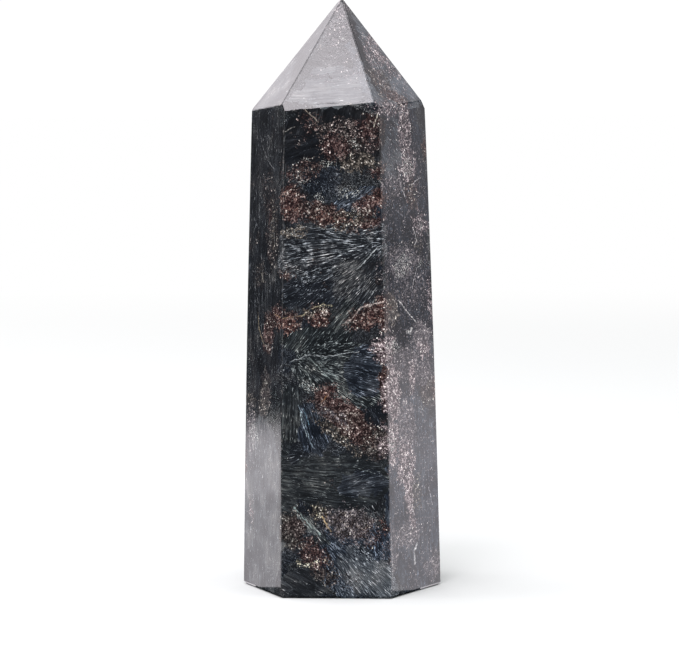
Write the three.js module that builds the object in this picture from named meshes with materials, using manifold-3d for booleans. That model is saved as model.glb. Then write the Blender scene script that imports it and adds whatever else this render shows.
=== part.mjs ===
// A mineral specimen: one piece of dark fibrous rock, sawn and polished into a six-sided
// tower with a six-sided point. It stands on its flat sawn base.
//
// Like the real piece, the tower is cut by hand: a rough block is trimmed by one flat plane
// after another. Each side and each tip facet has its own direction and slope, so the sides
// differ a little in width and the shoulder line steps where two facets meet.
//
// Units are millimetres, +Z is up, and the origin is the middle of the base.

import * as THREE from 'three';
import { mergeVertices } from 'three/addons/utils/BufferGeometryUtils.js';
import Module from 'manifold-3d';

// ---- Driving dimensions ----

const HEIGHT = 160;

// The six sides, going round. `facing` is the compass direction of the side in degrees
// (-90 is the front), `reach` its distance from the tower's axis at the base, and `lean`
// how far it leans inwards, in degrees.
const SIDES = {
  front: { facing: -94, reach: 22.9, lean: 1.4 },
  frontRight: { facing: -32.5, reach: 23.4, lean: 1.8 },
  backRight: { facing: 25.5, reach: 23.2, lean: 1.3 },
  back: { facing: 86, reach: 23.6, lean: 1.4 },
  backLeft: { facing: 146, reach: 23.9, lean: 1.4 },
  frontLeft: { facing: -155, reach: 24.6, lean: 1.2 },
};

// The six facets of the point, one above each side. `slope` is the angle to the ground in
// degrees, and `crossing` how far above the tip the facet's plane meets the tower's axis.
const FACETS = {
  front: { facing: -97.5, slope: 56, crossing: 0.7 },
  frontRight: { facing: -35.5, slope: 56.5, crossing: 0.9 },
  backRight: { facing: 24.5, slope: 56, crossing: 0.8 },
  back: { facing: 86, slope: 55.5, crossing: 0.5 },
  backLeft: { facing: 146.5, slope: 55.5, crossing: 1.3 },
  frontLeft: { facing: -158.5, slope: 53, crossing: 0.1 },
};

const ARRIS_WIDTH = 0.35; // the narrow flat that polishing leaves along every sharp edge
const BASE_CHAMFER = 1.1; // the wider flat ground round the foot, so that it doesn't chip
const SHARED_EDGE_LIMIT = 100; // planes whose directions differ by more share no edge

const ROUGH_BLOCK = { width: 80, depth: 80, height: HEIGHT };

// ---- Cutting planes ----

const radians = THREE.MathUtils.degToRad;

/** The plane of one side: it faces outwards and leans in towards the top. */
function sidePlane({ facing, reach, lean }) {
  const outwards = new THREE.Vector3(Math.cos(radians(facing)), Math.sin(radians(facing)), 0);
  const normal = outwards.clone().multiplyScalar(Math.cos(radians(lean)));
  normal.z = Math.sin(radians(lean));
  return new THREE.Plane().setFromNormalAndCoplanarPoint(normal, outwards.multiplyScalar(reach));
}

/** The plane of one tip facet, which meets the tower's axis just above the tip. */
function facetPlane({ facing, slope, crossing }) {
  const normal = new THREE.Vector3(
    Math.cos(radians(facing)) * Math.sin(radians(slope)),
    Math.sin(radians(facing)) * Math.sin(radians(slope)),
    Math.cos(radians(slope)),
  );
  const onAxis = new THREE.Vector3(0, 0, HEIGHT + crossing);
  return new THREE.Plane().setFromNormalAndCoplanarPoint(normal, onAxis);
}

/** The plane that takes a flat of the given width off the edge shared by two planes. */
function edgePlane(first, second, width) {
  const normal = first.normal.clone().add(second.normal);
  const halfAngle = first.normal.angleTo(second.normal) / 2;
  const depth = (width * Math.tan(halfAngle)) / 2;
  const constant = (first.constant + second.constant) / normal.length();
  return new THREE.Plane(normal.normalize(), constant + depth);
}

/** Every edge plane between the planes of one list, or between two different lists. */
function edgePlanes(list, others, width) {
  const limit = radians(SHARED_EDGE_LIMIT);
  return list.flatMap((first, index) =>
    (others ?? list.slice(index + 1))
      .filter((second) => first.normal.angleTo(second.normal) < limit)
      .map((second) => edgePlane(first, second, width)));
}

// ---- The tower ----

/** The rough block as a solid that planes can trim. */
function roughBlock(wasm) {
  const box = new THREE.BoxGeometry(ROUGH_BLOCK.width, ROUGH_BLOCK.depth, ROUGH_BLOCK.height);
  box.translate(0, 0, ROUGH_BLOCK.height / 2);
  box.deleteAttribute('normal');
  box.deleteAttribute('uv');
  const block = mergeVertices(box);
  return new wasm.Manifold(new wasm.Mesh({
    numProp: 3,
    vertProperties: new Float32Array(block.attributes.position.array),
    triVerts: new Uint32Array(block.index.array),
  }));
}

/** Keeps what lies behind a plane, as a flat lap does. */
function grind(solid, plane) {
  return solid.trimByPlane(plane.normal.clone().negate().toArray(), plane.constant);
}

/** The cut and polished tower as a geometry, standing on the middle of its base. */
function towerGeometry(wasm) {
  const sides = Object.values(SIDES).map(sidePlane);
  const facets = Object.values(FACETS).map(facetPlane);
  const base = new THREE.Plane(new THREE.Vector3(0, 0, -1), 0);
  const cuts = [
    ...sides,
    ...facets,
    ...edgePlanes([...sides, ...facets], null, ARRIS_WIDTH),
    ...edgePlanes([base], sides, BASE_CHAMFER),
  ];
  const { vertProperties, triVerts } = cuts.reduce(grind, roughBlock(wasm)).getMesh();
  const geometry = new THREE.BufferGeometry();
  geometry.setAttribute('position', new THREE.BufferAttribute(vertProperties, 3));
  geometry.setIndex(new THREE.BufferAttribute(triVerts, 1));
  geometry.computeBoundingBox();
  const { min, max } = geometry.boundingBox;
  geometry.translate(-(min.x + max.x) / 2, -(min.y + max.y) / 2, -min.z);
  geometry.computeVertexNormals();
  return geometry;
}

const wasm = await Module();
wasm.setup();

const polishedRock = new THREE.MeshStandardMaterial({
  color: 0x34373d,
  roughness: 0.2,
  metalness: 0,
});

const tower = new THREE.Mesh(towerGeometry(wasm), polishedRock);
tower.name = 'stone_tower';

const specimen = new THREE.Group();
specimen.add(tower);

export default specimen;
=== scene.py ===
"""A polished six-sided tower of dark fibrous astrophyllite rock, on a pale studio floor."""

import logging
import math
from dataclasses import dataclass, field
from enum import Enum

import bpy
from mathutils import Matrix, Vector, noise


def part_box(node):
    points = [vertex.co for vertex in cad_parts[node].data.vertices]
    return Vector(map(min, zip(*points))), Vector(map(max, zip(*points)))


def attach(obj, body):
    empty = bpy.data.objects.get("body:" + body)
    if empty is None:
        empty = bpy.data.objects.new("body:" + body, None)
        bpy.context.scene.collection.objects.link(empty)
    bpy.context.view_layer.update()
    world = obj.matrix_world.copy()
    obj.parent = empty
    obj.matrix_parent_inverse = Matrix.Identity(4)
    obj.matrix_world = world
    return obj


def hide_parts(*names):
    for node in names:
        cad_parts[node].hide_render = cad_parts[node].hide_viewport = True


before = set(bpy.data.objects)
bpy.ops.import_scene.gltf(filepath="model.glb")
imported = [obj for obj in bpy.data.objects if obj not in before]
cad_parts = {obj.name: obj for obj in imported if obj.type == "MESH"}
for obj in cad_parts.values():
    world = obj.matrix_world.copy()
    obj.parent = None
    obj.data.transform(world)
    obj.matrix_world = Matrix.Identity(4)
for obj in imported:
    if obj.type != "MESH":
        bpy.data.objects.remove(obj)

Socket = bpy.types.NodeSocket
Tree = bpy.types.NodeTree

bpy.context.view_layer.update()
MM = 0.001  # metres in a millimetre
WEAR = "wear"  # the point attribute that is 1 where an arris is nicked

logging.basicConfig(level=logging.INFO, format="%(message)s")
log = logging.getLogger("tower")


# ---- Small helpers ----


def linear(hex_colour: str) -> tuple[float, float, float, float]:
    """Turns an sRGB hex colour such as "#1A2B3C" to linear RGBA.

    Args:
        hex_colour: six hex digits after a hash.

    Returns:
        Red, green, blue and alpha, each from 0 to 1.
    """
    channels = [int(hex_colour[i:i + 2], 16) / 255 for i in (1, 3, 5)]
    decoded = [c / 12.92 if c <= 0.04045 else ((c + 0.055) / 1.055) ** 2.4 for c in channels]
    return (*decoded, 1.0)


def add_node(tree: Tree, kind: str, inputs: dict[str | int, object], output: int | str = 0,
             **settings: object) -> Socket:
    """Adds a node with its settings and links.

    Args:
        tree: the node tree to add to.
        kind: the node's type, without the "ShaderNode" that all of them begin with.
        inputs: socket name or number to a value, or to the socket that feeds it.
        output: the name or number of the output to return.
        **settings: the node's own properties.

    Returns:
        One of the node's output sockets.
    """
    node = tree.nodes.new("ShaderNode" + kind)
    for name, value in settings.items():
        setattr(node, name, value)
    for key, value in inputs.items():
        if isinstance(value, Socket):
            tree.links.new(value, node.inputs[key])
        else:
            node.inputs[key].default_value = value
    return node.outputs[output]


@dataclass(frozen=True)
class Clouds:
    """The look of one noise texture.

    Attributes:
        scale: how many clouds to a millimetre.
        detail: how many finer layers lie over the first.
        roughness: how strong the finer layers are.
    """

    scale: float
    detail: float
    roughness: float = 0.5

    def at(self, place: Socket) -> dict[str, Socket | float]:
        """The inputs of a Noise Texture node that draws these clouds at a place."""
        return {"Vector": place, "Scale": self.scale, "Detail": self.detail,
                "Roughness": self.roughness}


@dataclass(frozen=True)
class Band:
    """A range of values stretched to another range, and held at its ends.

    Attributes:
        low: where the range begins.
        high: where it ends.
        least: the result at its beginning.
        most: the result at its end.
    """

    low: float
    high: float
    least: float = 0.0
    most: float = 1.0

    def of(self, value: Socket) -> dict[int, Socket | float]:
        """The inputs of a Map Range node that stretches a value."""
        return {0: value, 1: self.low, 2: self.high, 3: self.least, 4: self.most}


@dataclass(frozen=True)
class Warp:
    """A way to move the coordinates about by noise.

    Attributes:
        clouds: the noise.
        amount: how far its whole range moves a point, in millimetres.
    """

    clouds: Clouds
    amount: float


def start_group(name: str, takes: dict[str, str],
                gives: dict[str, str]) -> tuple[Tree, bpy.types.NodeOutputs]:
    """Starts a node group, a small tree that the material uses many times.

    Args:
        name: what the group does.
        takes: names of its inputs, each with its kind, "Float" or "Vector".
        gives: the same for its outputs.

    Returns:
        The group's tree, and the sockets that bring its inputs in.
    """
    tree = bpy.data.node_groups.new(name, "ShaderNodeTree")
    for way, sockets in (("INPUT", takes), ("OUTPUT", gives)):
        for title, kind in sockets.items():
            tree.interface.new_socket(title, in_out=way, socket_type="NodeSocket" + kind)
    return tree, tree.nodes.new("NodeGroupInput").outputs


def end_group(tree: Tree, results: dict[str, Socket]) -> None:
    """Finishes a node group.

    Args:
        tree: the group's tree.
        results: names of its outputs, each with the socket that feeds it.
    """
    node = tree.nodes.new("NodeGroupOutput")
    for title, socket in results.items():
        tree.links.new(socket, node.inputs[title])


def deselect_all() -> None:
    """Leaves edit mode and deselects every object, the CAD nodes included."""
    if bpy.context.object and bpy.context.object.mode != "OBJECT":
        bpy.ops.object.mode_set(mode="OBJECT")
    bpy.ops.object.select_all(action="DESELECT")


# ---- The faces of the cut stone ----


class Face(Enum):
    """The tower's sides and the facets of its point, each with its compass direction."""

    FRONT = ("side", -90)
    FRONT_RIGHT = ("side", -30)
    BACK_RIGHT = ("side", 30)
    BACK = ("side", 90)
    BACK_LEFT = ("side", 150)
    FRONT_LEFT = ("side", -150)
    TIP_FRONT = ("tip", -90)
    TIP_FRONT_RIGHT = ("tip", -30)
    TIP_BACK_RIGHT = ("tip", 30)
    TIP_BACK = ("tip", 90)
    TIP_BACK_LEFT = ("tip", 150)
    TIP_FRONT_LEFT = ("tip", -150)


@dataclass(frozen=True)
class Plane:
    """A flat cut through the stone: its outward normal and its distance from the origin."""

    normal: Vector
    distance: float

    def outward(self) -> Vector:
        """The level direction that the plane faces."""
        return Vector((self.normal.x, self.normal.y, 0)).normalized()

    def along(self) -> Vector:
        """The level direction along the plane, to the right of one who looks at it."""
        return Vector((0, 0, 1)).cross(self.outward())

    def uphill(self) -> Vector:
        """The direction up the plane."""
        return self.normal.cross(self.along())

    def point(self, across: float, height: float) -> Vector:
        """A point on the plane.

        Args:
            across: distance to the right of the middle of the face, in millimetres.
            height: height above the base, in millimetres.

        Returns:
            The point in the stone's frame, in metres.
        """
        level = (self.distance - self.normal.z * height * MM) / self.outward().dot(self.normal)
        return self.along() * across * MM + self.outward() * level + Vector((0, 0, height * MM))

    def depth(self, position: Vector) -> float:
        """How far a point lies behind the plane, in metres."""
        return self.distance - self.normal.dot(position)


# ---- The tower's shape ----


@dataclass
class StoneTower:
    """The cut stone: a fine mesh of the CAD solid, with the marks of hand polishing."""

    node: str = "stone_tower"
    body: str = "root"
    slot: str = "polished_rock"
    big_face: float = 100 * MM * MM  # smaller faces are arrises and chamfers
    rim: float = 0.15 * MM  # keeps the shading flat right up to an arris
    row_height: float = 0.55 * MM
    first_row: int = 3  # the rows below it are taken up by the chamfer
    columns: int = 24
    longest_uncut: float = 1.0 * MM
    level_slope: float = 0.2  # rise over run under which an edge counts as level
    merge_distance: float = 0.001 * MM
    flat_angle: float = math.radians(0.5)  # faces that meet at less are one flat face
    smooth_angle: float = math.radians(40)
    base_limit: float = -0.5  # a face whose normal points further down is the base
    tip_limit: float = 0.3  # one whose normal points further up is a facet of the point
    barrel: float = 0.3 * MM  # how far the sides swell at half height
    shoulder: float = 130 * MM
    wave: float = 0.03 * MM  # height of the waves that a hand-held lap leaves
    wave_length: float = 13 * MM
    chip_depth: float = 0.03 * MM
    chip_length: float = 1.1 * MM
    chip_reach: float = 0.3 * MM
    chip_offset: tuple[float, float, float] = (7, 3, 5)  # where in the noise the nicks start
    chip_detail: float = 0.4  # size of the finer nicks, as a share of the length
    chip_share: float = 0.5  # how strong they are beside the longer ones
    chip_threshold: float = 0.32
    chip_steepness: float = 3.0
    foot: float = 0.5 * MM  # nothing below this moves, so that the base stays flat

    def build(self) -> bpy.types.Object:
        """Makes the piece and puts it in the frame.

        Returns:
            The finished object.
        """
        self.piece = self.copy_solid()
        self.planes = self.find_planes()
        self.cut_rims()
        self.cut_rows()
        self.cut_columns()
        self.weather()
        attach(self.piece, self.body)
        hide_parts(self.node)
        return self.piece

    def copy_solid(self) -> bpy.types.Object:
        """Copies the CAD node's mesh, merges its doubles and joins its flat faces.

        Returns:
            The copy, on its own at the origin.
        """
        deselect_all()
        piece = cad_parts[self.node].copy()
        piece.data = piece.data.copy()
        piece.name = "polished_tower"
        for key in list(piece.keys()):
            del piece[key]
        piece.parent = None
        bpy.context.scene.collection.objects.link(piece)
        piece.select_set(True)
        bpy.context.view_layer.objects.active = piece
        bpy.ops.object.mode_set(mode="EDIT")
        bpy.ops.mesh.select_all(action="SELECT")
        bpy.ops.mesh.remove_doubles(threshold=self.merge_distance)
        bpy.ops.mesh.dissolve_limited(angle_limit=self.flat_angle)
        bpy.ops.mesh.customdata_custom_splitnormals_clear()
        bpy.ops.object.mode_set(mode="OBJECT")
        return piece

    def find_planes(self) -> dict[Face, Plane]:
        """Finds the planes of the six sides and the six facets of the point.

        Returns:
            Each big face's plane.
        """
        planes = {}
        for polygon in self.piece.data.polygons:
            normal = polygon.normal
            if polygon.area < self.big_face or normal.z < self.base_limit:
                continue
            kind = "tip" if normal.z > self.tip_limit else "side"
            compass = math.degrees(math.atan2(normal.y, normal.x))
            face = min((f for f in Face if f.value[0] == kind),
                       key=lambda f: abs((f.value[1] - compass + 180) % 360 - 180))
            planes[face] = Plane(normal.copy(), normal.dot(polygon.center))
        return planes

    def cut_rims(self) -> None:
        """Insets a narrow rim into every big face."""
        mesh = self.piece.data
        for polygon in mesh.polygons:
            polygon.select = polygon.area > self.big_face
        for edge in mesh.edges:
            edge.select = False
        for vertex in mesh.vertices:
            vertex.select = False
        bpy.ops.object.mode_set(mode="EDIT")
        bpy.ops.mesh.select_mode(type="FACE")
        bpy.ops.mesh.inset(thickness=self.rim, use_individual=True, use_even_offset=True)
        bpy.ops.object.mode_set(mode="OBJECT")

    def cut_rows(self) -> None:
        """Cuts the whole stone into level rows."""
        bpy.ops.object.mode_set(mode="EDIT")
        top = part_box(self.node)[1].z
        rows = int(top / self.row_height)
        for row in range(self.first_row, rows - 1):
            bpy.ops.mesh.select_all(action="SELECT")
            height = top * row / rows
            bpy.ops.mesh.bisect(plane_co=(0, 0, height), plane_no=(0, 0, 1))
        bpy.ops.object.mode_set(mode="OBJECT")

    def cut_columns(self) -> None:
        """Divides every long level edge, which turns each row into a strip of small cells."""
        mesh = self.piece.data
        for polygon in mesh.polygons:
            polygon.select = False
        for edge in mesh.edges:
            a, b = (mesh.vertices[i].co for i in edge.vertices)
            run = (b - a).length
            edge.select = run > self.longest_uncut and abs(b.z - a.z) < self.level_slope * run
        bpy.ops.object.mode_set(mode="EDIT")
        bpy.ops.mesh.select_mode(type="EDGE")
        bpy.ops.mesh.subdivide(number_cuts=self.columns - 1)
        bpy.ops.mesh.select_all(action="SELECT")
        bpy.ops.mesh.quads_convert_to_tris(quad_method="BEAUTY", ngon_method="BEAUTY")
        bpy.ops.object.mode_set(mode="OBJECT")

    def weather(self) -> None:
        """Swells the sides, waves the polish and nicks the arrises by moving vertices."""
        mesh = self.piece.data
        wear = mesh.attributes.new(WEAR, "FLOAT", "POINT")
        planes = list(self.planes.values())
        moved = []
        for vertex in mesh.vertices:
            at = vertex.co.copy()
            depths = sorted((max(plane.depth(at), 0.0), i) for i, plane in enumerate(planes))
            on_face, near = depths[0][0], depths[1][0]
            up = min(max(at.z / self.shoulder, 0.0), 1.0)
            swell = self.barrel * 4 * up * (1 - up)
            outward = Vector((at.x, at.y, 0))
            shift = outward.normalized() * swell if outward.length > MM else Vector()
            wave = noise.noise(at / self.wave_length) * self.wave
            shift += planes[depths[0][1]].normal * wave
            grit = noise.noise(at / self.chip_length + Vector(self.chip_offset))
            grit += self.chip_share * noise.noise(at / (self.chip_length * self.chip_detail))
            closeness = max(0.0, 1 - (on_face + near) / self.chip_reach)
            nick = (grit - self.chip_threshold) * self.chip_steepness
            nick = max(0.0, min(1.0, nick)) * closeness
            if at.z < self.foot:
                nick = 0.0
                shift = Vector()
            inward = -(planes[depths[0][1]].normal + planes[depths[1][1]].normal).normalized()
            shift += inward * nick * self.chip_depth
            wear.data[vertex.index].value = nick
            moved.append(at + shift)
        for vertex, at in zip(mesh.vertices, moved):
            vertex.co = at
        mesh.update()
        deselect_all()
        self.piece.select_set(True)
        bpy.context.view_layer.objects.active = self.piece
        bpy.ops.object.shade_smooth_by_angle(angle=self.smooth_angle)


# ---- The rock ----


class Mineral(Enum):
    """The granular minerals that grow in patches between the dark fibres.

    Each value lists the grain colours as sRGB hex, from the darkest grain to the palest.
    """

    GARNET = ("#1A1315", "#2D2222", "#463838", "#6B5F5D", "#A29B98", "#E9E8E4")
    RUST = ("#1B1213", "#322120", "#4C3532", "#72574F", "#A89389", "#E6DCD4")
    BROWN = ("#191617", "#292627", "#403C3C", "#625E5D", "#999694", "#E4E3E0")
    TAN = ("#191716", "#2C2926", "#45403B", "#69625B", "#A09A91", "#E3DFD6")
    DUST = ("#2B292C", "#423F44", "#5C585C", "#7A7375", "#9B9494", "#CDC6C4")
    CREAM = ("#2B2A24", "#6E6A5A", "#B4B09A", "#DCD8C4", "#ECE9D8", "#FAF8EC")
    FELDSPAR = ("#2C2628", "#50474A", "#7C7073", "#AA9FA0", "#D6CDCB", "#F8F3EF")


@dataclass(frozen=True)
class Region:
    """An ellipsoid just under a face of the stone, with a ragged border.

    Attributes:
        face: the face it shows on.
        across: its middle, in millimetres to the right of the middle of the face.
        height: its middle above the base, in millimetres.
        half_width: half its width, in millimetres.
        half_height: half its height, in millimetres.
        tilt: how far its width turns up to the right, in degrees.
        depth: how far it reaches into the stone, in millimetres.
    """

    face: Face
    across: float
    height: float
    half_width: float
    half_height: float
    tilt: float
    depth: float = field(default=4.0, kw_only=True)

    def place(self, planes: dict[Face, Plane]) -> dict[str, Vector | float]:
        """Works out what the node groups need to know about the region.

        Args:
            planes: the stone's faces.

        Returns:
            Three axes that shrink the ellipsoid to a ball, the ball's middle along those axes,
            and the region's mean size in millimetres.
        """
        plane = planes[self.face]
        turn = Matrix.Rotation(math.radians(self.tilt), 3, plane.normal)
        axes = (turn @ plane.along() / self.half_width,
                turn @ plane.uphill() / self.half_height,
                plane.normal / self.depth)
        centre = plane.point(self.across, self.height) / MM
        return {
            "across": axes[0],
            "uphill": axes[1],
            "outward": axes[2],
            "middle": Vector([centre.dot(axis) for axis in axes]),
            "size": math.sqrt(self.half_width * self.half_height),
        }


REGION_INPUTS = {"spot": "Vector", "across": "Vector", "uphill": "Vector",
                 "outward": "Vector", "middle": "Vector", "size": "Float"}


@dataclass(frozen=True)
class Patch(Region):
    """A granular patch.

    Attributes:
        mineral: what fills it.
        density: the share of it that is grains, from 0 to 1.
    """

    mineral: Mineral
    density: float = 1.0


@dataclass(frozen=True)
class Sheaf(Region):
    """A sheaf of fibres that fans out from one point.

    Attributes:
        focus: where the fibres meet, across and height on the same face, in millimetres.
        shine: how many bright fibres it has, from -1 to 2, 0 being ordinary; paler fibres and
            painted sheen.
        lustre: how pale and smooth it is between them, from 0 to 2; own pallor and painted sheen.
        tone: its colour, from -1, green, to 1, blue.
    """

    focus: tuple[float, float]
    shine: float
    lustre: float
    tone: float


@dataclass(frozen=True)
class FleckCloud(Region):
    """A cloud of pale crumbs."""


STREAK_REACH = 6.0  # how many times deeper than wide a seam is


@dataclass(frozen=True)
class Streak:
    """A thin seam, a single bright fibre, or a painted highlight along an arris.

    Attributes:
        face: the face it shows on.
        points: the corners of its path, across and height, in millimetres.
        half_width: in millimetres.
        colour: sRGB hex.
    """

    face: Face
    points: tuple[tuple[float, float], ...]
    half_width: float
    colour: str

    def pieces(self, plane: Plane) -> list[dict[str, Vector | tuple]]:
        """Works out what the node group needs to know about each straight piece.

        Args:
            plane: the face that the streak lies on.

        Returns:
            For each piece three axes, its middle along them and its half length, all counted
            in half widths, and its colour.
        """
        corners = [plane.point(*point) / MM for point in self.points]
        found = []
        for start, end in zip(corners, corners[1:]):
            along = (end - start).normalized()
            axes = [axis / self.half_width for axis in (
                along, plane.normal.cross(along), plane.normal / STREAK_REACH)]
            middle = Vector([((start + end) / 2).dot(axis) for axis in axes])
            half = Vector(((end - start).length / 2 / self.half_width, 0, 0))
            found.append({"along": axes[0], "aside": axes[1], "outward": axes[2],
                          "middle": middle, "half": half, "own paint": linear(self.colour)})
        return found


# Short names for the lists below. Each line gives the face, then across, height, half width,
# half height and tilt, and then what the region's own class adds.
F, R, L = Face.FRONT, Face.FRONT_RIGHT, Face.FRONT_LEFT
BR, B, BL = Face.BACK_RIGHT, Face.BACK, Face.BACK_LEFT
TF, TR, TL = Face.TIP_FRONT, Face.TIP_FRONT_RIGHT, Face.TIP_FRONT_LEFT
GARNET, RUST, BROWN, TAN = Mineral.GARNET, Mineral.RUST, Mineral.BROWN, Mineral.TAN
DUST, CREAM, FELDSPAR = Mineral.DUST, Mineral.CREAM, Mineral.FELDSPAR

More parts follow.
